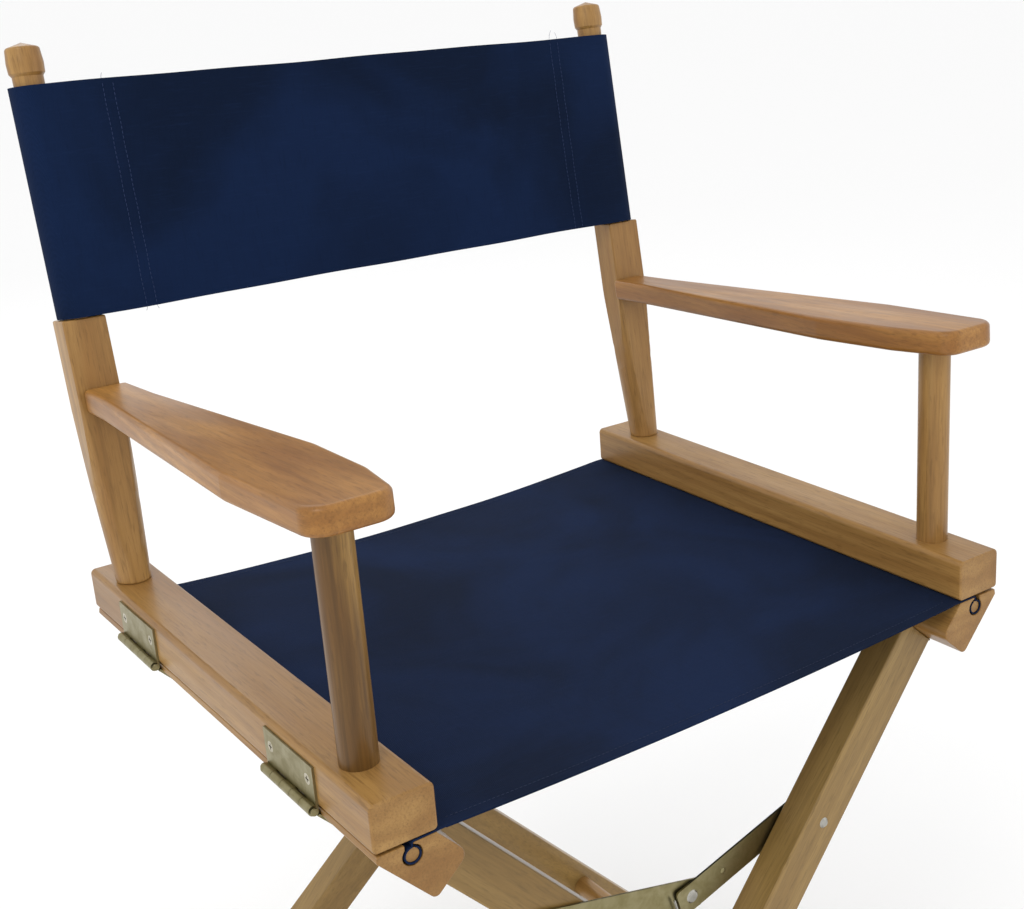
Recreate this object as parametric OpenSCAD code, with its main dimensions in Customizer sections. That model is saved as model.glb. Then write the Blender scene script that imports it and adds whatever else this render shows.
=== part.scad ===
// Folding director's chair: two crossed leg frames, two arm assemblies and two slung canvases.
// The rail frame has X across, Y from the front end of the rails to the back and Z up from the
// top of the base rails. The whole chair is pitched back by seat_pitch about X.

/* [Stance] */
// Height of the front end of the base rails above the floor
rail_height = 605; // [560:5:650]
// Backward pitch of the seat and rails
seat_pitch = 3; // [2:0.5:4]
// Place of the rails' front end along the floor
rail_front = -245.7; // [-260:0.1:-230]

/* [Rails] */
// Length of the base rails and seat rails
rail_length = 448; // [440:1:460]
// Distance of a base rail's middle from the middle of the chair
base_rail_x = 240; // [238:1:241]
// Width of a base rail
base_rail_width = 41; // [39:1:42]
// Depth of a base rail
base_rail_depth = 31; // [28:1:31]
// Depth of a seat rail outside the leg's middle line
seat_rail_outside = 19.4; // [19:0.1:19.8]
// Depth of a seat rail inside the leg's middle line
seat_rail_inside = 12; // [10:0.5:14]

/* [Legs] */
// Angle of the crossed frames above the horizontal
leg_angle = 48.2; // [47.8:0.1:48.6]
// Width of a leg board across the frame
leg_width = 35.4; // [33:0.1:36]
// Thickness of a leg board
leg_thickness = 26.9; // [25:0.1:28]
// Forward splay of the front legs in the plane of their frame
front_splay = 2.1; // [1:0.1:3]
// Backward splay of the rear legs in the plane of their frame
rear_splay = 9.9; // [8:0.1:11]
// Front face of the foremost leg at the crossing
front_leg_y = 20.7; // [18:0.1:24]
// Front face of the rearmost leg at the crossing
rear_leg_y = 453.5; // [450:0.1:458]
// Gap between the two front legs
front_gap = 6.5; // [6.5:0.1:8]
// Gap between the two rear legs
rear_gap = 7; // [7:0.1:9]
// Diameter of the lower stretchers
stretcher_d = 19; // [16:1:22]
// Distance of the lower stretchers down the legs from the crossing
stretcher_drop = 265; // [240:5:300]

/* [Arms] */
// Diameter of the front posts
front_post_d = 23.5; // [22:0.5:25]
// Length of the front posts between rail and armrest
front_post_h = 151; // [140:1:160]
// Backward lean of the back posts from the rails
post_lean = 8.2; // [7:0.1:9]
// Height of the shoulder on the back posts
shoulder_h = 198; // [185:1:200]
// Full height of the back posts
back_post_h = 391; // [380:1:395]
// Thickness of the armrests
armrest_t = 17.5; // [15:0.5:20]
// Slope of the armrests down to the back
armrest_slope = 3.2; // [2:0.1:4]

/* [Canvas] */
// Height of the back canvas
back_canvas_h = 164; // [155:1:166]
// Thickness of the canvas
canvas_t = 0.9; // [0.8:0.05:0.9]
// Sag in the middle of the seat canvas
seat_sag = 6; // [2:1:15]
// Diameter of the sticks that hold the seat canvas
stick_d = 9; // [8:0.5:9]

/* [Brace] */
// Length of each brace bar between its rivets
brace_length = 108; // [107:0.5:110]
// Width of the brace bars
brace_width = 22; // [18:1:22]
// Distance of the brace rivets from the crossing, along the legs
brace_reach = 157.5; // [156:0.5:158]

/* [Hidden] */
$fn = 64;
wood = "burlywood";
pale_wood = "wheat";
canvas = "midnightblue";
zinc = "darkkhaki";
steel = "silver";
past = 1;
big = 1200;
ca = cos(leg_angle);
sa = sin(leg_angle);
rail_inner = base_rail_x - base_rail_width / 2;
rail_outer = base_rail_x + base_rail_width / 2;

// Place where a leg's middle line meets its seat rail, and the crossing below the rails
leg_top = [226, -44.8];
cross_z = leg_top.y - leg_top.x * sa / ca;
leg_up = leg_top.x / ca + 40;
leg_down = 520;
inner_front_y = front_leg_y + leg_thickness / cos(front_splay) + front_gap;
inner_rear_y = rear_leg_y - leg_thickness / cos(rear_splay) - rear_gap;

// Seat rail section and the keyhole groove that holds the canvas
seat_rail_top = -base_rail_depth - 1.5;
seat_rail_below = -23;
rail_lip = [rail_outer - 1.9, seat_rail_top];
lip_z = -36.5;
groove = [237, -40.4];
groove_r = 6.5;
mouth = [236, 241.5];
leg_top_cut = seat_rail_top - 0.7;

// Hinges between the seat rails and base rails
pin = [264, -32];
pin_r = 1.5;
pin_clearance = 0.05;
knuckle_r = 3.3;
knuckles = 5;
knuckle_gap = 0.3;
leaf_t = 1.6;
leaf_w = 24;
hinge_l = 66;
hinge_y = [67, 316];
hinge_screw_y = [8, 58];

// Pivot bolts at the crossing
bolt_r = 4;
bolt_clearance = 0.05;
bolt_head_r = 9;
spot_r = 13;
spacer_r = 11;
spot_margin = 0.12;
spot_gap = 0.25;
nut_r = 7.5;
nut_h = 6;

// Posts and the knob on top of them
post_x = 241.5;
back_post_y = 406;
front_post_xy = [241, 47.5];
post_w = 31;
post_d = 25;
foot_r = 12.5;
foot_taper_h = 150;
foot_top_r = 20.2;
neck_r = 10.5;
knob_h = 22;
knob_r = 12.15;
tenon_r = 9;
post_tenon_l = 18;
arm_tenon_l = 10;

// Back canvas sleeves
sleeve_r = 14.5;
stitch_x = 190;

// Brace bars between the front legs
bar_t = 1.6;
bar_stand_off = 1.2;
rivet_r = 2.5;
rivet_clearance = 0.05;
rivet_head_h = 0.9;
rivet_head_r = 5;
leg_rivet_head_r = 4;
bar_past_centre = 12;
left_bar_past_leg = 26;
collar_gap = 0.1;
bar_gap = front_gap * cos(front_splay) - 2 * (bar_stand_off + bar_t);
collar_face = bar_stand_off + bar_t + bar_gap / 2 - collar_gap;
bar_droop = acos(brace_reach * cos(front_splay) * ca / brace_length);
bar_turn = 180 + bar_droop - leg_angle;

// Corner of a polygon as an arc, and a whole outline with one radius for each corner
function unit(v) = v / norm(v);
function arc_corner(a, b, c, r, steps = 6) =
    let (
        u = unit(a - b),
        w = unit(c - b),
        half = acos(u * w) / 2,
        centre = b + unit(u + w) * r / sin(half),
        start = b + u * r / tan(half) - centre,
        finish = b + w * r / tan(half) - centre,
        first = atan2(start.y, start.x),
        sweep = atan2(finish.y, finish.x) - first,
        turn = sweep > 180 ? sweep - 360 : sweep < -180 ? sweep + 360 : sweep
    )
    [for (i = [0:steps]) centre + r * [cos(first + turn * i / steps), sin(first + turn * i / steps)]];
function rounded(p, r) = [
    for (i = [0:len(p) - 1])
        each (r[i] == 0 ? [p[i]] : arc_corner(p[(i + len(p) - 1) % len(p)], p[i], p[(i + 1) % len(p)], r[i]))
];

// Point of the rail's section from its place along the leg and outside the leg's middle line
function on_leg(along, out) = leg_top + along * [ca, sa] + out * [sa, -ca];
function along_at(z, out) = (z - leg_top.y + out * ca) / sa;

function armrest_outline() = rounded(
    [[252.5, 440], [254, 374], [272, 120], [268.5, 11], [217, 11], [208, 62], [205, 134], [220, 360], [221.5, 440]],
    [0, 60, 25, 16, 14, 40, 50, 90, 0]);

function sag_at(x) = abs(x) > 214 ? 0 : seat_sag * (1 - pow(x / 214, 2));

module in_rail_frame() {
    translate([0, rail_front, rail_height]) rotate([-seat_pitch, 0, 0]) children();
}

module on_side(side) {
    in_rail_frame() mirror([side == "left" ? 1 : 0, 0, 0]) children();
}

module along_y(from, to) {
    translate([0, to, 0]) rotate([90, 0, 0]) linear_extrude(to - from) children();
}

// Frame of a leg: X up along the leg, Y back from its front face, Z across the frame
module in_leg_frame(y, splay) {
    translate([0, y, cross_z]) rotate([0, -leg_angle, 0]) rotate([0, 0, splay]) children();
}

module in_post_frame() {
    translate([post_x, back_post_y, 0]) rotate([-post_lean, 0, 0]) children();
}

module in_armrest_frame() {
    translate([0, front_post_xy.y, front_post_h]) rotate([-armrest_slope, 0, 0])
        translate([0, -front_post_xy.y, 0]) children();
}

// Frame of the seat rail's outer face: X points down the leg and Z out of the face
module on_rail_face(along, y) {
    place = on_leg(along, seat_rail_outside);
    translate([place.x, y, place.y]) rotate([0, 180 - leg_angle, 0]) children();
}

module screw(head_r, length, shank_r, slotted) {
    difference() {
        union() {
            translate([0, 0, -head_r * 0.6]) cylinder(r1 = shank_r, r2 = head_r, h = head_r * 0.6);
            translate([0, 0, -length]) cylinder(r = shank_r, h = length - head_r * 0.3);
            translate([0, 0, -length - 3]) cylinder(r1 = 0.3, r2 = shank_r, h = 3);
        }
        if (slotted) for (turn = [0, 90])
            rotate([0, 0, turn]) translate([-head_r * 0.6, -0.4, -1]) cube([head_r * 1.2, 0.8, 2]);
    }
}

// Base rails, posts and armrests

module base_rail_solid() {
    low = -base_rail_depth;
    along_y(0, rail_length)
        polygon(rounded([[rail_inner, low], [rail_outer, low], [rail_outer, 0], [rail_inner, 0]], [3, 3, 4, 4]));
}

module front_post_tenon() {
    translate([front_post_xy.x, front_post_xy.y, -post_tenon_l])
        cylinder(r = tenon_r, h = front_post_h + post_tenon_l + arm_tenon_l);
}

module back_post_tenon() {
    in_post_frame() translate([0, 0, -post_tenon_l]) cylinder(r = tenon_r, h = post_tenon_l + 5);
}

module base_rail(side) {
    color(wood) on_side(side) difference() {
        base_rail_solid();
        front_post_tenon();
        back_post_tenon();
        upper_leaf_screw_set();
        rail_screw_set();
    }
}

module armrest_solid() {
    in_armrest_frame() linear_extrude(armrest_t) polygon(armrest_outline());
}

module front_post(side) {
    color(wood) on_side(side) difference() {
        union() {
            difference() {
                translate([front_post_xy.x, front_post_xy.y, 0])
                    cylinder(d = front_post_d, h = front_post_h + 2);
                armrest_solid();
            }
            front_post_tenon();
        }
        rail_screw_set();
        arm_pin_set();
    }
}

module back_post_head() {
    top = back_post_h;
    low = back_post_h - knob_h;
    rotate_extrude() polygon(concat(
        [[0, shoulder_h - 5], [neck_r, shoulder_h - 5]],
        rounded([[neck_r, low - 0.2], [knob_r, low + 2], [knob_r + 0.4, low + 9], [knob_r - 0.6, top - 2.5], [0, top + 1]],
            [0, 0.8, 20, 2.5, 0])));
}

module back_post(side) {
    color(wood) on_side(side) difference() {
        union() {
            difference() {
                in_post_frame() {
                    intersection() {
                        translate([-post_w / 2, -post_d / 2, -5]) cube([post_w, post_d, shoulder_h + 5]);
                        union() {
                            translate([0, 0, -5]) cylinder(r = foot_r, h = 5);
                            cylinder(r1 = foot_r, r2 = foot_top_r, h = foot_taper_h);
                            translate([0, 0, foot_taper_h]) cylinder(r = foot_top_r + past, h = shoulder_h);
                        }
                    }
                    back_post_head();
                }
                translate([0, 0, -30]) cube([600, 600, 30]);
            }
            back_post_tenon();
        }
        rail_screw_set();
        armrest_screw();
    }
}

module armrest(side) {
    color(pale_wood) on_side(side) difference() {
        armrest_solid();
        in_post_frame() translate([-50, -post_d / 2, 0]) cube([100, 100, 300]);
        front_post_tenon();
        arm_pin_set();
        armrest_screw();
    }
}

module arm_pin_set() {
    in_armrest_frame() translate([front_post_xy.x + 5, front_post_xy.y, armrest_t * 0.42])
        rotate([0, 90, 0]) cylinder(r = 0.9, h = 23.2);
}

module armrest_screw(slotted = false) {
    in_post_frame() translate([0, post_d / 2, 139]) rotate([-90, 0, 0]) screw(4.2, 52, 2, slotted);
}

module rail_screw_set(slotted = false) {
    for (y = [front_post_xy.y, back_post_y])
        translate([post_x - 0.5, y, -base_rail_depth]) rotate([180, 0, 0]) screw(4.2, 30, 2, slotted);
}

module arm_pins(side) {
    color(steel) on_side(side) arm_pin_set();
}

module post_screws(side) {
    color(steel) on_side(side) {
        rail_screw_set(true);
        armrest_screw(true);
    }
}

// Hinges

module knuckle_rings(y, first) {
    pitch = hinge_l / knuckles;
    for (i = [first:2:knuckles - 1])
        translate([pin.x, y + i * pitch + knuckle_gap / 2, pin.y])
            rotate([-90, 0, 0]) cylinder(r = knuckle_r, h = pitch - knuckle_gap);
}

module pin_bore(y) {
    translate([pin.x, y - past, pin.y])
        rotate([-90, 0, 0]) cylinder(r = pin_r + pin_clearance, h = hinge_l + 2 * past);
}

module upper_leaf_screw_set(slotted = false) {
    for (y = hinge_y, at = hinge_screw_y)
        translate([rail_outer + leaf_t, y + at, -15]) rotate([0, 90, 0]) screw(3.6, 17, 1.6, slotted);
}

module lower_leaf_screw_set(slotted = false) {
    for (y = hinge_y, at = hinge_screw_y)
        on_rail_face(18, y + at) translate([0, 0, leaf_t]) screw(3.6, 12, 1.6, slotted);
}

module upper_leaf(side, index) {
    y = hinge_y[index];
    pitch = hinge_l / knuckles;
    leaf_low = pin.y + 3.7;
    color(zinc) on_side(side) difference() {
        union() {
            translate([rail_outer, y, leaf_low]) cube([leaf_t, hinge_l, leaf_w]);
            for (i = [0:2:knuckles - 1])
                translate([rail_outer, y + i * pitch + knuckle_gap / 2, pin.y])
                    cube([leaf_t, pitch - knuckle_gap, 6]);
            knuckle_rings(y, 0);
        }
        pin_bore(y);
        upper_leaf_screw_set();
    }
}

module lower_leaf(side, index) {
    y = hinge_y[index];
    pitch = hinge_l / knuckles;
    leaf_high = along_at(pin.y, seat_rail_outside) - 4.3;
    color(zinc) on_side(side) difference() {
        union() {
            on_rail_face(leaf_high, y) cube([leaf_w, hinge_l, leaf_t]);
            for (i = [1:2:knuckles - 1])
                on_rail_face(leaf_high + 3, y + i * pitch + knuckle_gap / 2)
                    cube([8, pitch - knuckle_gap, leaf_t]);
            knuckle_rings(y, 1);
        }
        pin_bore(y);
        lower_leaf_screw_set();
    }
}

module hinge_pin(side, index) {
    y = hinge_y[index];
    color(zinc) on_side(side) {
        translate([pin.x, y - 1.2, pin.y]) rotate([-90, 0, 0]) cylinder(r = pin_r, h = hinge_l + 2.4);
        for (end = [y - 2, y + hinge_l + 0.8])
            translate([pin.x, end, pin.y]) rotate([-90, 0, 0]) cylinder(r = 2.4, h = 1.2);
    }
}

module upper_leaf_screws(side) {
    color(zinc) on_side(side) upper_leaf_screw_set(true);
}

module lower_leaf_screws(side) {
    color(zinc) on_side(side) lower_leaf_screw_set(true);
}

// Seat rails, sticks, legs and stretchers

module seat_rail_section() {
    polygon(rounded(
        [on_leg(seat_rail_below, -seat_rail_inside),
            on_leg(seat_rail_below, seat_rail_outside),
            on_leg(along_at(lip_z, seat_rail_outside), seat_rail_outside),
            rail_lip,
            on_leg(along_at(seat_rail_top, -seat_rail_inside), -seat_rail_inside)],
        [7, 4, 1.5, 1, 2]));
}

module seat_rail(side) {
    color(wood) on_side(side) difference() {
        along_y(0, rail_length) difference() {
            seat_rail_section();
            translate(groove) circle(groove_r);
            translate([mouth[0], groove.y]) square([mouth[1] - mouth[0], 20]);
        }
        leg_screw_set(side);
        lower_leaf_screw_set();
    }
}

module seat_stick(side) {
    color(pale_wood) on_side(side)
        along_y(1, rail_length - 1) translate(groove) circle(d = stick_d - 0.2);
}

// Front faces of the front and rear leg at the crossing, for each frame
function leg_y(side) = side == "right" ? [front_leg_y, rear_leg_y] : [inner_front_y, inner_rear_y];
splays = [front_splay, -rear_splay];

module leg(side, index) {
    y = leg_y(side)[index];
    splay = splays[index];
    spot = spot_r * tan(front_splay + (rear_splay - front_splay) * index) + spot_margin;
    depth = leg_thickness / cos(splay);
    color(wood) difference() {
        on_side(side) difference() {
            in_leg_frame(y, splay) translate([-leg_down, 0, -leg_width / 2])
                cube([leg_down + leg_up, leg_thickness, leg_width]);
            along_y(-50, big / 2) seat_rail_section();
            translate([0, -50, leg_top_cut]) cube([big / 2, big / 2, 100]);
            translate([post_x, -50, -50]) cube([big / 2, big / 2, 100]);
            translate([0, y - 8, cross_z]) rotate([-90, 0, 0]) cylinder(r = spot_r, h = 8 + spot);
            translate([0, y + depth - spot, cross_z]) rotate([-90, 0, 0]) cylinder(r = spot_r, h = 8);
            translate([0, y - 8, cross_z]) rotate([-90, 0, 0])
                cylinder(r = bolt_r + bolt_clearance, h = depth + 16);
            stretcher_solid(side);
            leg_screw_set(side);
            if (index == 0) brace_leg_rivet(side);
        }
        translate([-big / 2, -big / 2, -big]) cube([big, big, big]);
    }
}

module stretcher_solid(side) {
    hole = 12;
    front = leg_y(side)[0] + leg_thickness / cos(front_splay) - stretcher_drop * tan(front_splay) - hole;
    rear = leg_y(side)[1] + stretcher_drop * tan(rear_splay) + hole;
    translate([-stretcher_drop * ca, front, cross_z - stretcher_drop * sa])
        rotate([-90, 0, 0]) cylinder(d = stretcher_d, h = rear - front);
}

module stretcher(side) {
    color(wood) on_side(side) stretcher_solid(side);
}

module leg_screw_set(side, slotted = false) {
    rise = leg_top.x / ca;
    front = leg_y(side)[0] + rise * tan(front_splay) + leg_thickness / 2;
    rear = leg_y(side)[1] - rise * tan(rear_splay) + leg_thickness / 2;
    for (y = [front, rear], out = [-6, 6]) on_rail_face(-8, y + out) screw(4, 27, 1.8, slotted);
}

module leg_screws(side) {
    color(steel) on_side(side) leg_screw_set(side, true);
}

// Pivot bolts, with a spacer between the two legs of each crossing

function pair_y(index) = index == 0
    ? [front_leg_y, inner_front_y]
    : [inner_rear_y, rear_leg_y];
function pair_depth(index) = leg_thickness / cos(splays[index]);
function spot_depth(index) = spot_r * tan(index == 0 ? front_splay : rear_splay) + spot_margin;

module pivot_cylinder(from, to, r) {
    translate([0, from, cross_z]) rotate([-90, 0, 0]) cylinder(r = r, h = to - from);
}

module pivot_bolt(index) {
    head = pair_y(index)[0] + spot_depth(index) - spot_gap;
    tail = pair_y(index)[1] + pair_depth(index) + 9;
    color(steel) in_rail_frame() {
        pivot_cylinder(head - 2, tail, bolt_r);
        difference() {
            translate([0, head, cross_z]) rotate([90, 0, 0]) cylinder(r1 = bolt_head_r, r2 = 6.5, h = 3.5);
            translate([0, head - 3, cross_z]) rotate([90, 0, 0]) cylinder(r = 2.4, h = 3);
        }
    }
}

module pivot_nut(index) {
    from = pair_y(index)[1] + pair_depth(index) - spot_depth(index) + spot_gap;
    color(steel) in_rail_frame() difference() {
        union() {
            pivot_cylinder(from, from + 1.2, bolt_head_r + 1);
            translate([0, from + 1.2, cross_z]) rotate([-90, 0, 0]) cylinder(r = nut_r, h = nut_h, $fn = 6);
        }
        pivot_cylinder(from - past, from + 20, bolt_r);
    }
}

module pivot_spacer(index) {
    from = pair_y(index)[0] + pair_depth(index) - spot_depth(index) + spot_gap;
    to = pair_y(index)[1] + spot_depth(index) - spot_gap;
    color(steel) in_rail_frame() difference() {
        pivot_cylinder(from, to, spacer_r);
        pivot_cylinder(from - past, to + past, bolt_r);
    }
}

// Brace bars behind the foremost leg and in front of the leg behind it

module in_bar_frame(side) {
    in_leg_frame(leg_y(side)[0], front_splay)
        translate([brace_reach, side == "right" ? leg_thickness : 0, 0]) rotate([0, -bar_turn, 0]) children();
}

module bar_plate(from, to) {
    rotate([90, 0, 0]) linear_extrude(bar_t, center = true) difference() {
        polygon(rounded(
            [[from, -brace_width / 2], [to, -brace_width / 2], [to, brace_width / 2], [from, brace_width / 2]],
            [6, 3, 3, 6]));
        for (x = [0, brace_length]) translate([x, 0]) circle(rivet_r + rivet_clearance);
    }
}

module brace_bar_right() {
    color(zinc) on_side("right") in_bar_frame("right")
        translate([0, bar_stand_off + bar_t / 2, 0]) bar_plate(-11, brace_length + bar_past_centre);
}

module brace_bar_left() {
    color(zinc) on_side("left") in_bar_frame("left")
        translate([0, -bar_stand_off - bar_t / 2, 0])
            bar_plate(-left_bar_past_leg, brace_length + bar_past_centre);
}

module bar_cylinder(from, to, r1, r2) {
    translate([0, from, 0]) rotate([-90, 0, 0]) cylinder(r1 = r1, r2 = r2, h = to - from);
}

// Rivet through the leg and its bar, with the bar's side towards sign
module brace_leg_rivet(side) {
    sign = side == "right" ? 1 : -1;
    far = -sign * leg_thickness;
    end = sign * (bar_stand_off + bar_t + 0.2);
    in_bar_frame(side) {
        bar_cylinder(min(far, end), max(far, end), rivet_r, rivet_r);
        bar_cylinder(min(end, end + sign * rivet_head_h), max(end, end + sign * rivet_head_h), 4.2, 4.2);
        if (side == "right") bar_cylinder(far - 1.4, far, 2.6, leg_rivet_head_r);
        if (side == "left") bar_cylinder(far, far + 1.4, leg_rivet_head_r, 2.6);
    }
}

module brace_rivet(side) {
    color(steel) on_side(side) brace_leg_rivet(side);
}

module brace_centre_rivet() {
    color(steel) on_side("right") in_bar_frame("right") translate([brace_length, 0, 0]) {
        bar_cylinder(bar_stand_off - rivet_head_h, bar_stand_off, 4, rivet_head_r);
        bar_cylinder(bar_stand_off - past / 2, bar_stand_off + bar_t + bar_gap / 4, rivet_r, rivet_r);
        bar_cylinder(bar_stand_off + bar_t, collar_face, rivet_head_r, rivet_head_r);
    }
}

module brace_centre_tail() {
    color(steel) on_side("left") in_bar_frame("left") translate([brace_length, 0, 0]) {
        bar_cylinder(-bar_stand_off, -bar_stand_off + rivet_head_h, rivet_head_r, 4);
        bar_cylinder(-bar_stand_off - bar_t - bar_gap / 4, -bar_stand_off + past / 2, rivet_r, rivet_r);
        bar_cylinder(-collar_face, -bar_stand_off - bar_t, rivet_head_r, rivet_head_r);
    }
}

// Canvases

module seat_canvas() {
    high = -base_rail_depth - 0.3;
    low = high - canvas_t;
    step = 214 / 12;
    edge = mouth[0] + 0.4;
    across = [for (i = [-12:12]) i * step];
    color(canvas) in_rail_frame() along_y(0, rail_length) {
        polygon(concat(
            [[-edge, high]], [for (x = across) [x, high - sag_at(x)]], [[edge, high], [edge, low]],
            [for (i = [24:-1:0]) [across[i], low - sag_at(across[i])]], [[-edge, low]]));
        for (flip = [0, 1]) mirror([flip, 0]) {
            translate([edge - past / 10, groove.y + stick_d / 2 + 0.5]) square([canvas_t, high - groove.y - stick_d / 2 - 0.5]);
            translate(groove) difference() {
                circle(stick_d / 2 + 0.1 + canvas_t);
                circle(stick_d / 2);
            }
        }
    }
}

module back_canvas() {
    inner = sleeve_r - canvas_t;
    lap = post_x - stitch_x;
    lap_angle = atan2(sleeve_r + inner, lap);
    color(canvas) in_rail_frame() translate([0, back_post_y, 0]) rotate([-post_lean, 0, 0])
        translate([0, 0, shoulder_h + 0.5]) linear_extrude(back_canvas_h) {
            translate([-post_x, -sleeve_r]) square([2 * post_x, canvas_t]);
            for (flip = [0, 1]) mirror([flip, 0]) {
                translate([post_x, 0]) difference() {
                    circle(sleeve_r);
                    circle(inner);
                    translate([-2 * sleeve_r, -inner]) square([2 * sleeve_r, 2 * inner]);
                }
                translate([post_x + 0.2, sleeve_r]) rotate([0, 0, 180 + lap_angle])
                    square([norm([lap, sleeve_r + inner]), canvas_t]);
            }
        }
}

seat_canvas();
back_canvas();
pivot_bolt(0);  // pivot_bolt_front
pivot_bolt(1);  // pivot_bolt_rear
pivot_nut(0);  // pivot_nut_front
pivot_nut(1);  // pivot_nut_rear
pivot_spacer(0);  // pivot_spacer_front
pivot_spacer(1);  // pivot_spacer_rear
base_rail("right");  // base_rail_right
base_rail("left");  // base_rail_left
front_post("right");  // front_post_right
front_post("left");  // front_post_left
back_post("right");  // back_post_right
back_post("left");  // back_post_left
armrest("right");  // armrest_right
armrest("left");  // armrest_left
arm_pins("right");  // arm_pins_right
arm_pins("left");  // arm_pins_left
post_screws("right");  // post_screws_right
post_screws("left");  // post_screws_left
upper_leaf("right", 0);  // upper_leaf_right_front
upper_leaf("right", 1);  // upper_leaf_right_rear
upper_leaf("left", 0);  // upper_leaf_left_front
upper_leaf("left", 1);  // upper_leaf_left_rear
upper_leaf_screws("right");  // upper_leaf_screws_right
upper_leaf_screws("left");  // upper_leaf_screws_left
seat_rail("right");  // seat_rail_right
seat_rail("left");  // seat_rail_left
seat_stick("right");  // seat_stick_right
seat_stick("left");  // seat_stick_left
leg("right", 0);  // leg_front_right
leg("right", 1);  // leg_rear_right
leg("left", 0);  // leg_front_left
leg("left", 1);  // leg_rear_left
stretcher("right");  // stretcher_right
stretcher("left");  // stretcher_left
leg_screws("right");  // leg_screws_right
leg_screws("left");  // leg_screws_left
lower_leaf("right", 0);  // lower_leaf_right_front
lower_leaf("right", 1);  // lower_leaf_right_rear
lower_leaf("left", 0);  // lower_leaf_left_front
lower_leaf("left", 1);  // lower_leaf_left_rear
lower_leaf_screws("right");  // lower_leaf_screws_right
lower_leaf_screws("left");  // lower_leaf_screws_left
hinge_pin("right", 0);  // hinge_pin_right_front
hinge_pin("right", 1);  // hinge_pin_right_rear
hinge_pin("left", 0);  // hinge_pin_left_front
hinge_pin("left", 1);  // hinge_pin_left_rear
brace_bar_right();
brace_bar_left();
brace_rivet("right");  // brace_rivet_right
brace_rivet("left");  // brace_rivet_left
brace_centre_rivet();
brace_centre_tail();
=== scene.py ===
"""Looks of the folding director chair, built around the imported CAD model."""
import math

import bmesh
import bpy
from mathutils import Matrix, Vector


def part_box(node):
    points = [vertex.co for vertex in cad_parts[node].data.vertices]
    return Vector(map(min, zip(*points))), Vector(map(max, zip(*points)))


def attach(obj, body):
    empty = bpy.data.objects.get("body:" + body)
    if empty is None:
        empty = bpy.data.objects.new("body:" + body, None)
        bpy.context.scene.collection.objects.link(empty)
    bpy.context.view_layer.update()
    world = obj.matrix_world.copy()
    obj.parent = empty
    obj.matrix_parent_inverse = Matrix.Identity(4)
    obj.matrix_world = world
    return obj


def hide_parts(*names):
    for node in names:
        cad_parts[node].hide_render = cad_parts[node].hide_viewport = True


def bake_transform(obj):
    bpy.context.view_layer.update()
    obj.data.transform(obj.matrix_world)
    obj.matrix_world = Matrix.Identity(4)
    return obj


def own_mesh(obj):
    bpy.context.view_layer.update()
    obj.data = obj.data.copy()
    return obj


MM = 0.001
SIDES = {"right": 1, "left": -1}

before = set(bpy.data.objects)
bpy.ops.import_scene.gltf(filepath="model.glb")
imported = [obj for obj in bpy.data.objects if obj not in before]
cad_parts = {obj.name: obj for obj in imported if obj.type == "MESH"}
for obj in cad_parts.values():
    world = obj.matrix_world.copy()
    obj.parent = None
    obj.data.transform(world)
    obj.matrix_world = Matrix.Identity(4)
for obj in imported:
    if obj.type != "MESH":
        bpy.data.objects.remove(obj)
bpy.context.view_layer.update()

# Frames of the chair: the rails are pitched back, the back posts lean back from the rails

PITCH = math.radians(3)
LEAN = math.radians(8.2)
LEG_ANGLE = math.radians(48.2)
RAIL_LENGTH = 448 * MM
POST_X = 241.5 * MM
rail_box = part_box("base_rail_right")
RAIL_ORIGIN = Vector((0, rail_box[0][1] + 31 * MM * math.sin(PITCH), rail_box[1][2]))
RAIL_FRAME = Matrix.Translation(RAIL_ORIGIN) @ Matrix.Rotation(-PITCH, 4, "X")
POST_FRAME = RAIL_FRAME @ Matrix.Translation((0, 406 * MM, 0)) @ Matrix.Rotation(-LEAN, 4, "X")


def direction(matrix, vector):
    """Direction of a vector of one of the frames above, in the object's frame."""
    return (matrix.to_3x3() @ Vector(vector)).normalized()


# Materials

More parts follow.
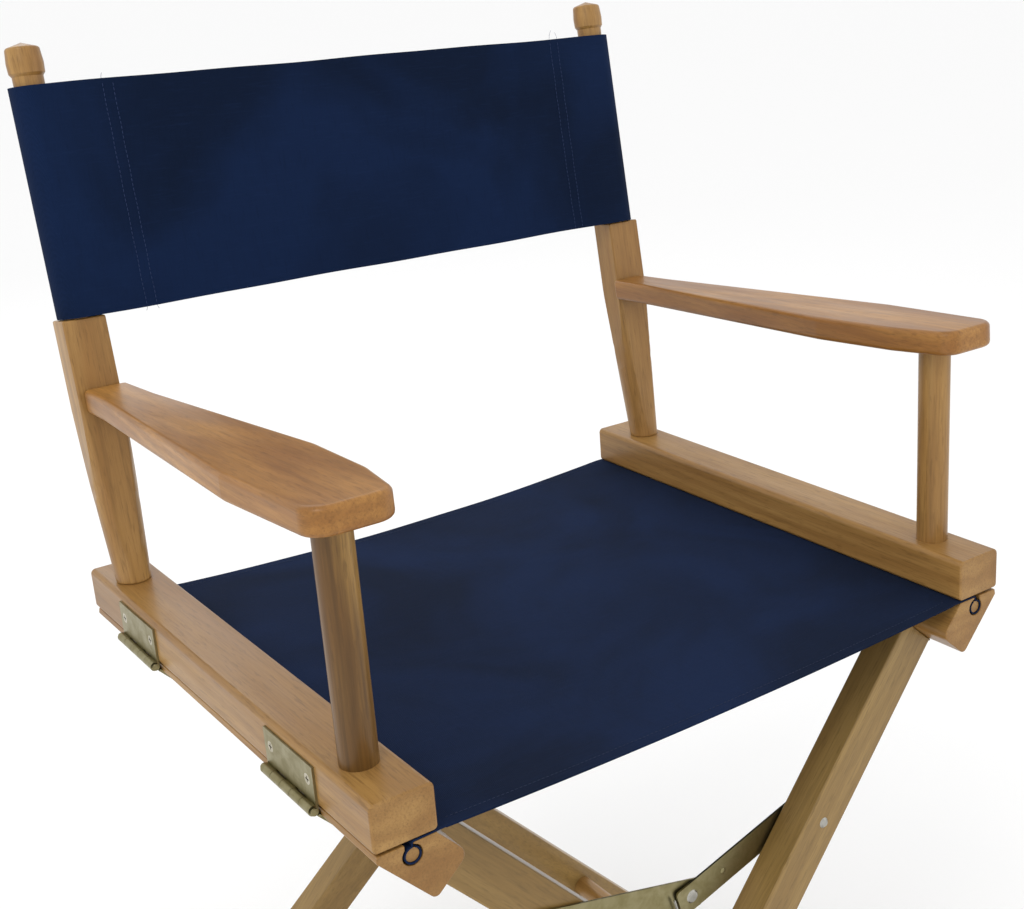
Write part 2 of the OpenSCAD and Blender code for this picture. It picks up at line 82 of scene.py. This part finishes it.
class Nodes:
    """Short calls for building one material's nodes."""

    def __init__(self, name):
        self.material = bpy.data.materials.new(name)
        self.material.use_nodes = True
        self.tree = self.material.node_tree
        self.shader = self.tree.nodes["Principled BSDF"]

    def add(self, kind, inputs=None, **settings):
        node = self.tree.nodes.new(kind)
        for key, value in settings.items():
            setattr(node, key, value)
        for key, value in (inputs or {}).items():
            self.put(value, node.inputs[key])
        return node

    def put(self, value, socket):
        if isinstance(value, bpy.types.NodeSocket):
            self.tree.links.new(value, socket)
        else:
            socket.default_value = value

    def math(self, operation, a, b=0.0):
        return self.add("ShaderNodeMath", {0: a, 1: b}, operation=operation).outputs[0]

    def coordinates(self, rotation=(0, 0, 0), scale=(1, 1, 1)):
        place = self.add("ShaderNodeTexCoord").outputs["Object"]
        mapping = self.add("ShaderNodeMapping", {"Vector": place}, vector_type="TEXTURE")
        mapping.inputs["Rotation"].default_value = rotation
        mapping.inputs["Scale"].default_value = scale
        return mapping.outputs["Vector"]

    def noise(self, vector, scale, detail=3.0, roughness=0.55, distortion=0.0):
        node = self.add("ShaderNodeTexNoise", {
            "Vector": vector, "Scale": scale, "Detail": detail,
            "Roughness": roughness, "Distortion": distortion})
        return node.outputs["Fac"]

    def spread(self, value, low, high, to_low=0.0, to_high=1.0):
        node = self.add("ShaderNodeMapRange", {
            "Value": value, "From Min": low, "From Max": high, "To Min": to_low, "To Max": to_high})
        return node.outputs["Result"]

    def mix(self, factor, a, b, blend="MIX"):
        node = self.add("ShaderNodeMix", data_type="RGBA", blend_type=blend)
        self.put(factor, node.inputs["Factor"])
        self.put(a, node.inputs[6])
        self.put(b, node.inputs[7])
        return node.outputs[2]

    def bump(self, height, distance, strength=1.0, under=None):
        inputs = {"Height": height, "Distance": distance, "Strength": strength}
        if under is not None:
            inputs["Normal"] = under
        return self.add("ShaderNodeBump", inputs).outputs["Normal"]

    def finish(self, **inputs):
        for key, value in inputs.items():
            self.put(value, self.shader.inputs[key.replace("_", " ")])
        return self.material


def colour(red, green, blue):
    """Linear colour of an sRGB colour from 0 to 255."""
    def linear(value):
        share = value / 255
        return share / 12.92 if share <= 0.04045 else ((share + 0.055) / 1.055) ** 2.4
    return (linear(red), linear(green), linear(blue), 1.0)


def wood(name, along, light, dark, streaks=0.3, place=(0, 0, 0)):
    """Clear-lacquered beech with its grain along a direction: board tone, streaks, rays and pores."""
    n = Nodes(name)
    turn = Vector(along).to_track_quat("X", "Z").to_euler()
    board = n.coordinates(turn, (7, 1, 1))
    grain = n.coordinates(turn, (28, 1, 1))
    fleck = n.coordinates(turn, (9, 1, 1))
    shift = n.add("ShaderNodeVectorMath", {0: board, 1: place}, operation="ADD").outputs[0]
    tone = n.noise(shift, 22, 2, 0.5, 0.6)
    figure = n.add("ShaderNodeTexWave", {
        "Vector": shift, "Scale": 26, "Distortion": 9, "Detail": 2, "Detail Scale": 0.8},
        wave_type="BANDS", bands_direction="Z").outputs["Fac"]
    streak = n.noise(grain, 240, 4, 0.6)
    fine = n.noise(grain, 700, 3, 0.6)
    rays = n.spread(n.noise(fleck, 620, 2, 0.5), 0.58, 0.7)
    pores = n.spread(n.noise(grain, 1500, 1, 0.5), 0.6, 0.75)
    base = n.mix(n.spread(tone, 0.35, 0.68), light, dark)
    base = n.mix(n.math("MULTIPLY", n.spread(figure, 0.1, 0.95), 0.45), base, dark)
    deep = tuple(c * 0.55 for c in dark[:3]) + (1.0,)
    base = n.mix(n.math("MULTIPLY", n.spread(streak, 0.42, 0.72), streaks), base, deep)
    base = n.mix(n.math("MULTIPLY", n.spread(fine, 0.46, 0.66), 0.3), base, deep)
    base = n.mix(n.math("MULTIPLY", rays, 0.4), base, deep)
    base = n.mix(n.math("MULTIPLY", pores, 0.25), base, deep)
    rough = n.spread(n.noise(board, 60, 3), 0.3, 0.7, 0.34, 0.46)
    relief = n.bump(streak, 0.12 * MM, 0.35)
    relief = n.bump(rays, 0.05 * MM, 0.2, relief)
    return n.finish(Base_Color=base, Roughness=rough, Normal=relief, Coat_Weight=0.12,
                    Coat_Roughness=0.16, Specular_IOR_Level=0.32)


def canvas(name, across, deep, worn):
    """Navy cotton duck: plain weave of warp and weft with slubs and faded patches."""
    n = Nodes(name)
    turn = Vector(across).to_track_quat("X", "Z").to_euler()
    flat = n.coordinates(turn)
    pitch = 1 / (0.9 * MM)
    axes = n.add("ShaderNodeSeparateXYZ", {"Vector": flat}).outputs
    warp = n.math("SINE", n.math("MULTIPLY", axes["X"], math.tau * pitch))
    weft = n.math("SINE", n.math("MULTIPLY", axes["Y"], math.tau * pitch))
    rise = n.math("SINE", n.math("MULTIPLY", axes["Z"], math.tau * pitch))
    weave = n.math("MULTIPLY", n.math("ADD", weft, rise), warp)
    slubs = n.noise(n.coordinates(turn, (12, 1, 1)), 700, 2)
    cross = n.noise(n.coordinates(turn, (1, 10, 10)), 700, 2)
    patches = n.spread(n.noise(flat, 6.5, 3, 0.5, 0.8), 0.38, 0.62)
    base = n.mix(patches, deep, worn)
    light = tuple(min(1, c * 1.9 + 0.004) for c in worn[:3]) + (1.0,)
    threads = n.math("MULTIPLY", n.spread(weave, -1.6, 1.8), 0.3)
    base = n.mix(threads, base, light)
    base = n.mix(n.math("MULTIPLY", n.spread(slubs, 0.56, 0.82), 0.2), base, light)
    base = n.mix(n.math("MULTIPLY", n.spread(cross, 0.55, 0.8), 0.25), base, deep)
    relief = n.bump(weave, 0.14 * MM, 0.55)
    relief = n.bump(slubs, 0.1 * MM, 0.35, relief)
    return n.finish(Base_Color=base, Roughness=0.95, Normal=relief, Sheen_Weight=0.02,
                    Sheen_Roughness=0.5, Specular_IOR_Level=0.06)


def metal(name, base, tint, rough, scratch_along=(0, 1, 0)):
    """Plated steel: cloudy plating colour, fine rolling marks and a little grime."""
    n = Nodes(name)
    turn = Vector(scratch_along).to_track_quat("X", "Z").to_euler()
    cloud = n.noise(n.coordinates(), 90, 3, 0.6, 0.4)
    marks = n.noise(n.coordinates(turn, (40, 1, 1)), 1400, 2)
    pits = n.spread(n.noise(n.coordinates(), 900, 2), 0.66, 0.74)
    shade = n.mix(n.spread(cloud, 0.35, 0.66), base, tint)
    grime = tuple(c * 0.35 for c in base[:3]) + (1.0,)
    shade = n.mix(n.math("MULTIPLY", pits, 0.25), shade, grime)
    wear = n.math("ADD", cloud, n.math("MULTIPLY", marks, 0.5))
    rough_map = n.spread(wear, 0.5, 1.1, rough - 0.08, rough + 0.12)
    relief = n.bump(marks, 0.03 * MM, 0.3)
    return n.finish(Base_Color=shade, Metallic=1.0, Roughness=rough_map, Normal=relief)


def plain(name, base, rough):
    """Thread, with a fine fibre bump."""
    n = Nodes(name)
    fibre = n.noise(n.coordinates(), 2500, 2)
    deep = tuple(c * 0.6 for c in base[:3]) + (1.0,)
    tone = n.mix(n.spread(fibre, 0.4, 0.7), base, deep)
    return n.finish(Base_Color=tone, Roughness=rough, Normal=n.bump(fibre, 0.05 * MM, 0.4))


# Mesh helpers

def new_object(name, bm, material, smooth_angle=35):
    mesh = bpy.data.meshes.new(name)
    bm.normal_update()
    bm.to_mesh(mesh)
    bm.free()
    mesh.materials.append(material)
    thing = bpy.data.objects.new(name, mesh)
    bpy.context.collection.objects.link(thing)
    shade(thing, smooth_angle)
    return thing


def shade(thing, angle):
    """Smooth shading with sharp edges kept where the faces turn more than the angle."""
    mesh = thing.data
    bm = bmesh.new()
    bm.from_mesh(mesh)
    for face in bm.faces:
        face.smooth = True
    for edge in bm.edges:
        turn = edge.calc_face_angle(math.pi) if len(edge.link_faces) == 2 else math.pi
        edge.smooth = turn < math.radians(angle)
    bm.to_mesh(mesh)
    bm.free()


def apply_modifier(thing, name):
    bpy.context.view_layer.objects.active = thing
    with bpy.context.temp_override(object=thing, active_object=thing):
        bpy.ops.object.modifier_apply(modifier=name)


def even_shading(thing):
    """Keeps flat faces flat between their rounded edges."""
    modifier = thing.modifiers.new("even", "WEIGHTED_NORMAL")
    modifier.keep_sharp = True
    modifier.weight = 70
    apply_modifier(thing, "even")


def sharp_loops(bm, angle, least):
    """Sharp edges in joined sets that are wider than least, which leaves small holes alone."""
    limit = math.radians(angle)
    sharp = {e for e in bm.edges if len(e.link_faces) == 2 and e.calc_face_angle(0) > limit}
    kept = []
    while sharp:
        group = [sharp.pop()]
        for edge in group:
            for vertex in edge.verts:
                for other in vertex.link_edges:
                    if other in sharp:
                        sharp.remove(other)
                        group.append(other)
        points = [v.co for e in group for v in e.verts]
        span = Vector([max(p[i] for p in points) - min(p[i] for p in points) for i in range(3)])
        if span.length > least:
            kept += group
    return kept


def eased(node, material, radius, body, segments=3, least=34 * MM, angle=40):
    """A wooden piece of the CAD model with its sharp edges eased, in place of the CAD node."""
    bm = bmesh.new()
    bm.from_mesh(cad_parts[node].data)
    bmesh.ops.remove_doubles(bm, verts=bm.verts, dist=0.01 * MM)
    bmesh.ops.dissolve_limit(bm, angle_limit=math.radians(1.5), verts=bm.verts, edges=bm.edges)
    bmesh.ops.bevel(bm, geom=sharp_loops(bm, angle, least), offset=radius, segments=segments,
                    profile=0.5, affect="EDGES", clamp_overlap=False)
    bmesh.ops.triangulate(bm, faces=[f for f in bm.faces if len(f.verts) > 4])
    piece = new_object("wood_" + node, bm, material, 30)
    even_shading(piece)
    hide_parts(node)
    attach(piece, body)
    return piece


def dress(node, material):
    """Gives a CAD node its material."""
    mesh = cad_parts[node].data
    mesh.materials.clear()
    mesh.materials.append(material)


def grid(name, rows, material, transform):
    """Sheet through rows of points, all of one length."""
    bm = bmesh.new()
    lattice = [[bm.verts.new(transform @ Vector(p)) for p in row] for row in rows]
    for a, b in zip(lattice, lattice[1:]):
        for i in range(len(a) - 1):
            bm.faces.new((a[i], a[i + 1], b[i + 1], b[i]))
    return new_object(name, bm, material, 60)


def thicken(sheet, thickness):
    """Gives a sheet its cloth thickness, half to each side."""
    modifier = sheet.modifiers.new("cloth", "SOLIDIFY")
    modifier.thickness = thickness
    modifier.offset = 0
    apply_modifier(sheet, "cloth")


def stitch(bm, centre, along, out, length, width):
    """One raised stitch of thread, lying along a direction."""
    side = along.cross(out).normalized()
    ring = 6
    loops = []
    for k in range(5):
        share = k / 4 * 2 - 1
        swell = math.sqrt(max(0.12, 1 - share * share))
        middle = centre + along * share * length / 2 + out * width * 0.35 * swell
        loops.append([bm.verts.new(
            middle + (side * math.cos(t) + out * math.sin(t)) * width / 2 * swell)
            for t in (math.tau * i / ring for i in range(ring))])
    for a, b in zip(loops, loops[1:]):
        for i in range(ring):
            bm.faces.new((a[i], a[(i + 1) % ring], b[(i + 1) % ring], b[i]))
    bm.faces.new(loops[0][::-1])
    bm.faces.new(loops[-1])


# Looks

LIGHT = colour(170, 131, 74)
DARK = colour(138, 98, 48)
GREY_LIGHT = colour(160, 130, 76)
GREY_DARK = colour(132, 103, 55)
rail_way = direction(RAIL_FRAME, (0, 1, 0))
post_way = direction(POST_FRAME, (0, 0, 1))
up_way = direction(RAIL_FRAME, (0, 0, 1))
rail_wood = wood("rail_beech", rail_way, LIGHT, DARK, 0.22)
arm_wood = wood("armrest_beech", rail_way, colour(178, 128, 64), colour(140, 92, 40), 0.4, (0.3, 0.1, 0))
back_post_wood = wood("back_post_beech", post_way, colour(176, 136, 78), colour(142, 101, 50), 0.32)
front_post_wood = {
    "right": wood("front_post_beech", up_way, LIGHT, DARK, 0.25),
    "left": wood("front_post_dark_beech", up_way, colour(186, 146, 78), colour(104, 72, 30), 0.85),
}
leg_wood = {
    side: wood("leg_beech_" + side,
               direction(RAIL_FRAME, (sign * math.cos(LEG_ANGLE), 0, math.sin(LEG_ANGLE))),
               GREY_LIGHT, GREY_DARK, 0.2, (0.7 * sign, 0, 0))
    for side, sign in SIDES.items()
}
screw_steel = metal("screw_steel", colour(196, 190, 170), colour(168, 160, 136), 0.28)
zinc = metal("yellow_zinc", colour(148, 140, 106), colour(132, 123, 86), 0.38)
steel = metal("bright_zinc", colour(178, 176, 168), colour(150, 148, 140), 0.32)
navy = canvas("navy_duck", (1, 0, 0), colour(10, 21, 40), colour(16, 32, 62))
thread = plain("navy_thread", colour(30, 52, 96), 0.8)
edge_thread = plain("hem_thread", colour(24, 40, 72), 0.8)


def dress_frames():
    for side in SIDES:
        frame_body = "frame_" + side
        arm_body = "arm_" + side
        eased("base_rail_" + side, rail_wood, 1.6 * MM, arm_body)
        eased("armrest_" + side, arm_wood, 3.6 * MM, arm_body, 5)
        eased("back_post_" + side, back_post_wood, 1.4 * MM, arm_body)
        dress("front_post_" + side, front_post_wood[side])
        eased("seat_rail_" + side, rail_wood, 0.8 * MM, frame_body)
        for leg in ("leg_front_", "leg_rear_"):
            eased(leg + side, leg_wood[side], 1.5 * MM, frame_body)
        dress("stretcher_" + side, rail_wood)
        dress("seat_stick_" + side, rail_wood)
    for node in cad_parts:
        if ("leaf" in node and "screws" not in node) or "hinge_pin" in node or "brace_bar" in node:
            dress(node, zinc)
        elif "leaf_screws" in node:
            dress(node, screw_steel)
        elif any(word in node for word in ("bolt", "nut", "spacer", "screws", "pins", "rivet", "tail")):
            dress(node, steel)


# Back canvas: a panel between the posts and a sewn sleeve round each post

SLEEVE_R = 14.2 * MM
SLEEVE_LEAVE = math.radians(58)
CLOTH = 1.0 * MM
LAP_GAP = 1.15 * MM
PANEL_X = 222 * MM
STITCH_X = (188.4 * MM, 196 * MM)
SHOULDER = 198.6 * MM
BACK_H = 163.6 * MM
LAP_X = 184 * MM


def panel_depth(x, z):
    """Depth of the back canvas in the post frame: slack in the middle, flat at the posts."""
    across = x / PANEL_X
    up = (z - SHOULDER) / BACK_H
    slack = 5.0 * MM * (1 - across ** 2) * (0.55 + 0.45 * math.cos(math.pi * (up - 0.4)))
    ripple = 0.5 * MM * math.sin(9 * across + 2.5 * up) * (1 - across ** 4)
    return -SLEEVE_R + slack + ripple


def edge_wave(x):
    """Small waviness of the canvas' top and bottom edges."""
    return 0.5 * MM * math.sin(x / (38 * MM)) + 0.35 * MM * math.sin(x / (17 * MM) + 1)


def heights(x, steps=26):
    return [SHOULDER + BACK_H * i / steps + edge_wave(x) * (i / steps - 0.5) for i in range(steps + 1)]


def back_panel():
    columns = [-PANEL_X + 2 * PANEL_X * i / 110 for i in range(111)]
    rows = [[(x, panel_depth(x, z), z) for z in heights(x)] for x in columns]
    panel = grid("back_canvas_panel", rows, navy, POST_FRAME)
    thicken(panel, CLOTH)
    return panel


def back_lap(side):
    """Turned-in layer behind the panel, from the sleeve to past the stitching."""
    sign = SIDES[side]
    columns = [PANEL_X + (LAP_X - PANEL_X) * i / 16 for i in range(17)]
    rows = []
    for x in columns:
        share = (PANEL_X - x) / (PANEL_X - LAP_X)
        start = lap_start()
        row = []
        for z in heights(sign * x):
            face = panel_depth(sign * x, z) + LAP_GAP
            ease = min(1.0, share * 1.45)
            ease = ease * ease * (3 - 2 * ease)
            row.append((sign * x, start + (face - start) * ease, z))
        rows.append(row)
    if sign < 0:
        rows.reverse()
    lap = grid("back_canvas_lap_" + side, rows, navy, POST_FRAME)
    thicken(lap, CLOTH)
    return lap


def lap_start():
    """Depth of the sleeve's back layer where it meets the lap."""
    leave_x = POST_X - math.sin(SLEEVE_LEAVE) * SLEEVE_R
    leave_y = math.cos(SLEEVE_LEAVE) * SLEEVE_R
    slope = -math.tan(SLEEVE_LEAVE)
    return leave_y + (leave_x - PANEL_X) * slope if leave_x > PANEL_X else leave_y


def back_sleeve(side):
    """Sleeve round a post's neck: its front layer, the wrap round the post and its back layer."""
    sign = SIDES[side]
    outline = [(PANEL_X + (POST_X - PANEL_X) * i / 5, -SLEEVE_R) for i in range(5)]
    last = math.pi - SLEEVE_LEAVE
    turns = [last * i / 26 for i in range(27)]
    turns += [last + 2 * SLEEVE_LEAVE * i / 14 for i in range(1, 15)]
    outline += [(POST_X + math.sin(t) * SLEEVE_R, -math.cos(t) * SLEEVE_R) for t in turns]
    outline += [(PANEL_X, lap_start())]
    rows = [[(sign * x, y, z) for z in heights(sign * x)] for x, y in outline]
    if sign < 0:
        rows.reverse()
    sleeve = grid("back_canvas_sleeve_" + side, rows, navy, POST_FRAME)
    thicken(sleeve, CLOTH)
    return sleeve


def back_stitches():
    bm = bmesh.new()
    pitch = 3.4 * MM
    along = direction(POST_FRAME, (0, 0, 1))
    for sign in SIDES.values():
        for column, x in enumerate(STITCH_X):
            for i in range(int(BACK_H / pitch) - 1):
                z = SHOULDER + pitch * (i + 0.8)
                wander = 0.15 * MM * math.sin(i * 0.7 + column)
                for face, out in ((-CLOTH / 2, -1), (CLOTH / 2 + LAP_GAP, 1)):
                    place = POST_FRAME @ Vector((sign * x + wander, panel_depth(sign * x, z) + face, z))
                    stitch(bm, place, along, direction(POST_FRAME, (0, out, 0)), 2.5 * MM, 0.55 * MM)
    return new_object("back_canvas_stitches", bm, thread, 60)


# Side, distance from the middle, top or bottom, length and sideways lean of each loose thread, in mm
TAILS = (
    (1, 188.4, 1, 7, 2.5), (1, 196, 1, 5, -1.5), (-1, 196, 1, 4, 1),
    (-1, 188.4, -1, 3, 1), (-1, 196, -1, 3, -1),
)


def thread_tails():
    """Loose thread ends left at the ends of the stitch rows."""
    bm = bmesh.new()
    for sign, x, end, length, lean in TAILS:
        start = SHOULDER + (BACK_H if end > 0 else 0)
        points = [POST_FRAME @ Vector((sign * x * MM + lean * MM * (k / 5) ** 2,
                                       panel_depth(sign * x * MM, start) - 0.6 * MM,
                                       start + end * length * MM * k / 5)) for k in range(6)]
        for a, b in zip(points, points[1:]):
            stitch(bm, (a + b) / 2, (b - a).normalized(), direction(POST_FRAME, (0, -1, 0)),
                   (b - a).length * 1.2, 0.32 * MM)
    return new_object("back_canvas_thread_tails", bm, thread, 60)


def build_back():
    panel = back_panel()
    laps = [back_lap(side) for side in SIDES]
    stitches = [back_stitches(), thread_tails()]
    for piece in [panel] + laps + stitches:
        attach(piece, "arm_left")
        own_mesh(piece)
    for side in SIDES:
        sleeve = back_sleeve(side)
        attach(sleeve, "arm_" + side)
    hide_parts("back_canvas")


# Seat canvas: slung between the two grooves, its hems wrapped round the sticks

GROOVE = Vector((237 * MM, 0, -40.4 * MM))
HEM_R = 5.1 * MM
SLOT_X = 236.9 * MM
OVER_Z = -31.75 * MM
SPAN = 214 * MM
SAG = 6 * MM
SEAT_CLOTH = 0.9 * MM


def sag(x, y):
    """Sag of the seat canvas below the rails: most in the middle, and a little more behind it."""
    if abs(x) >= SPAN:
        return 0.0
    across = 1 - (x / SPAN) ** 2
    along = y / RAIL_LENGTH
    body = 1 + 0.25 * math.sin(math.pi * along) + 0.2 * along ** 3
    creases = 0.35 * MM * math.sin(x / (23 * MM) + 3 * along) * math.exp(-((along - 0.8) / 0.3) ** 2)
    return SAG * across * body + creases * across


def seat_outline():
    """Half of the canvas' section, from the middle of the seat to the end of the hem on its stick."""
    flat = [(SPAN * i / 60, OVER_Z) for i in range(61)]
    lip = [(SPAN + (SLOT_X - 1.6 * MM - SPAN) * i / 6, OVER_Z) for i in range(1, 7)]
    bend = [(SLOT_X - 1.6 * MM + 1.6 * MM * math.sin(t), OVER_Z - 1.6 * MM + 1.6 * MM * math.cos(t))
            for t in (math.pi / 2 * i / 5 for i in range(1, 6))]
    start = math.radians(92)
    ring = [(GROOVE.x + HEM_R * math.cos(start + t), GROOVE.z + HEM_R * math.sin(start + t))
            for t in (-math.radians(338) * i / 30 for i in range(31))]
    return flat + lip + bend + ring


def seat_half(side):
    sign = SIDES[side]
    outline = seat_outline()
    count = 64
    rows = []
    for x, z in outline:
        row = []
        for i in range(count + 1):
            share = i / count
            bow = 3.0 * MM * (1 - (x / POST_X) ** 2)
            y = bow + (RAIL_LENGTH + 1.5 * MM - 2 * bow) * share
            row.append((sign * x, y, z - sag(sign * x, y)))
        rows.append(row)
    if sign > 0:
        rows.reverse()
    half = grid("seat_canvas_" + side, rows, navy, RAIL_FRAME)
    bm = bmesh.new()
    bm.from_mesh(half.data)
    bmesh.ops.recalc_face_normals(bm, faces=bm.faces)
    bm.to_mesh(half.data)
    bm.free()
    thicken(half, SEAT_CLOTH)
    return half


def hem_line(side):
    """Row of stitches just inside the front and back edges of the seat canvas."""
    sign = SIDES[side]
    bm = bmesh.new()
    pitch = 3.2 * MM
    for edge in (8 * MM, RAIL_LENGTH - 6.5 * MM):
        for i in range(int(SPAN / pitch)):
            x = sign * pitch * (i + 0.5)
            bow = 3.0 * MM * (1 - (x / POST_X) ** 2)
            y = edge + (bow if edge < RAIL_LENGTH / 2 else -bow)
            for face in (1, -1):
                z = OVER_Z - sag(x, y) + face * SEAT_CLOTH / 2
                stitch(bm, RAIL_FRAME @ Vector((x, y, z)), Vector((1, 0, 0)),
                       direction(RAIL_FRAME, (0, 0, face)), 2.3 * MM, 0.45 * MM)
    return new_object("seat_hem_stitches_" + side, bm, edge_thread, 60)


def hem_tuck(side, front):
    """Folded-under hem strip below the front or back edge of the seat canvas."""
    sign = SIDES[side]
    columns = [SPAN * i / 60 for i in range(61)]
    rows = []
    for x in columns:
        bow = 3.0 * MM * (1 - (x / POST_X) ** 2)
        row = []
        for i in range(9):
            inset = 0.6 * MM + 10 * MM * i / 8
            y = bow + inset if front else RAIL_LENGTH + 1.5 * MM - bow - inset
            row.append((sign * x, y, OVER_Z - sag(sign * x, y) - SEAT_CLOTH - 0.05 * MM))
        rows.append(row)
    strip = grid("seat_hem_%s_%s" % (side, "front" if front else "back"), rows, navy, RAIL_FRAME)
    thicken(strip, SEAT_CLOTH * 0.9)
    return strip


def build_seat():
    for side, sign in SIDES.items():
        half = seat_half(side)
        extras = [hem_line(side), hem_tuck(side, True), hem_tuck(side, False)]
        for piece in [half] + extras:
            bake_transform(piece)
        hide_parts("seat_canvas")


# Stop tab of the brace, bent out from the end of the right-hand bar, and the dimple beside its rivet

TAB_REACH = 15 * MM
TAB_SIZE = Vector((1.8, 1.5, 17.0)) * MM
TAB_RISE = 0.8 * MM
DIMPLE_R = 2.6 * MM


def centre_of(node):
    low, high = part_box(node)
    return (Vector(low) + Vector(high)) / 2


def bar_face(node):
    """Middle and normal of a brace bar's front face."""
    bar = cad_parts[node]
    turn = bar.matrix_world.to_3x3()
    front = [f for f in bar.data.polygons if (turn @ f.normal).y < -0.9]
    face = max(front, key=lambda f: f.area)
    return bar.matrix_world @ face.center, (turn @ face.normal).normalized()


def brace_frame():
    """Frame on the right-hand bar's front face at its centre rivet: X from the leg, Y into the bar."""
    middle, out = bar_face("brace_bar_right")
    centre = centre_of("brace_centre_rivet")
    leg = centre_of("brace_rivet_right")
    reach = centre - leg
    reach -= out * reach.dot(out)
    x_way = reach.normalized()
    y_way = -out
    place = centre - out * (centre - middle).dot(out)
    turn = Matrix((x_way, y_way, x_way.cross(y_way))).transposed().to_4x4()
    return Matrix.Translation(place) @ turn, reach.length


def brace_details():
    place, reach = brace_frame()
    bm = bmesh.new()
    bmesh.ops.create_cube(bm, size=1)
    bmesh.ops.scale(bm, vec=TAB_SIZE, verts=bm.verts)
    bmesh.ops.translate(bm, vec=(TAB_REACH, TAB_SIZE.y / 2 - TAB_RISE, 0), verts=bm.verts)
    bmesh.ops.bevel(bm, geom=bm.edges[:], offset=0.5 * MM, segments=2, affect="EDGES")
    bmesh.ops.transform(bm, matrix=place, verts=bm.verts)
    bmesh.ops.recalc_face_normals(bm, faces=bm.faces)
    tab = new_object("brace_stop_tab", bm, steel, 40)
    bm = bmesh.new()
    bmesh.ops.create_uvsphere(bm, u_segments=20, v_segments=10, radius=DIMPLE_R)
    bmesh.ops.scale(bm, vec=(1, 0.4, 1), verts=bm.verts)
    bmesh.ops.translate(bm, vec=(-0.28 * reach, 0, 0), verts=bm.verts)
    bmesh.ops.transform(bm, matrix=place, verts=bm.verts)
    bmesh.ops.recalc_face_normals(bm, faces=bm.faces)
    dimple = new_object("brace_dimple", bm, zinc, 60)
    for piece in (tab, dimple):
        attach(piece, "brace_right")


def build_stage():
    bpy.ops.mesh.primitive_plane_add(size=80, location=(0, 0, 0))
    floor = bpy.context.object
    floor.name = "studio_floor"
    n = Nodes("studio_white")
    speck = n.noise(n.coordinates(), 3, 2)
    base = n.mix(n.math("MULTIPLY", speck, 0.03), (0.96, 0.96, 0.96, 1), (0.93, 0.93, 0.93, 1))
    floor.data.materials.append(n.finish(Base_Color=base, Roughness=0.85, Specular_IOR_Level=0.1))


def area_light(name, place, target, size, power, tint=(1, 1, 1)):
    data = bpy.data.lights.new(name, "AREA")
    data.shape = "DISK"
    data.size = size
    data.energy = power
    data.color = tint
    lamp = bpy.data.objects.new(name, data)
    bpy.context.collection.objects.link(lamp)
    lamp.location = place
    lamp.rotation_euler = (Vector(target) - Vector(place)).to_track_quat("-Z", "Y").to_euler()


def build_light():
    world = bpy.data.worlds.new("studio")
    bpy.context.scene.world = world
    world.use_nodes = True
    world.node_tree.nodes["Background"].inputs["Color"].default_value = (1, 1, 1, 1)
    world.node_tree.nodes["Background"].inputs["Strength"].default_value = 1.0
    seat = (0, 0, 0.6)
    area_light("key", (-1.6, -1.0, 2.6), seat, 1.2, 13, (1, 0.98, 0.95))
    area_light("fill", (2.2, -1.8, 1.6), seat, 1.8, 4, (0.96, 0.98, 1))
    area_light("back_light", (0.6, 2.4, 2.0), seat, 1.6, 6)
    scene = bpy.context.scene
    scene.view_settings.view_transform = "Standard"
    scene.view_settings.look = "None"
    scene.view_settings.exposure = 0.0


def build_camera():
    """Camera in front, to the chair's left and above, looking down onto the seat."""
    data = bpy.data.cameras.new("camera")
    camera = bpy.data.objects.new("camera", data)
    bpy.context.collection.objects.link(camera)
    camera.location = (-0.5627, -0.8910, 1.0805)
    azimuth, elevation, roll = (math.radians(a) for a in (38.68, 20.74, -0.40))
    look = (Matrix.Rotation(-azimuth, 4, "Z") @ Matrix.Rotation(math.pi / 2 - elevation, 4, "X")
            @ Matrix.Rotation(roll, 4, "Z"))
    camera.rotation_euler = look.to_euler()
    data.sensor_width = 36
    data.lens = 53.05
    data.shift_x = -0.159
    data.shift_y = -0.017
    data.clip_start = 0.05
    data.dof.use_dof = False
    bpy.context.scene.camera = camera


build_camera()
build_light()
build_stage()
dress_frames()
build_back()
build_seat()
brace_details()
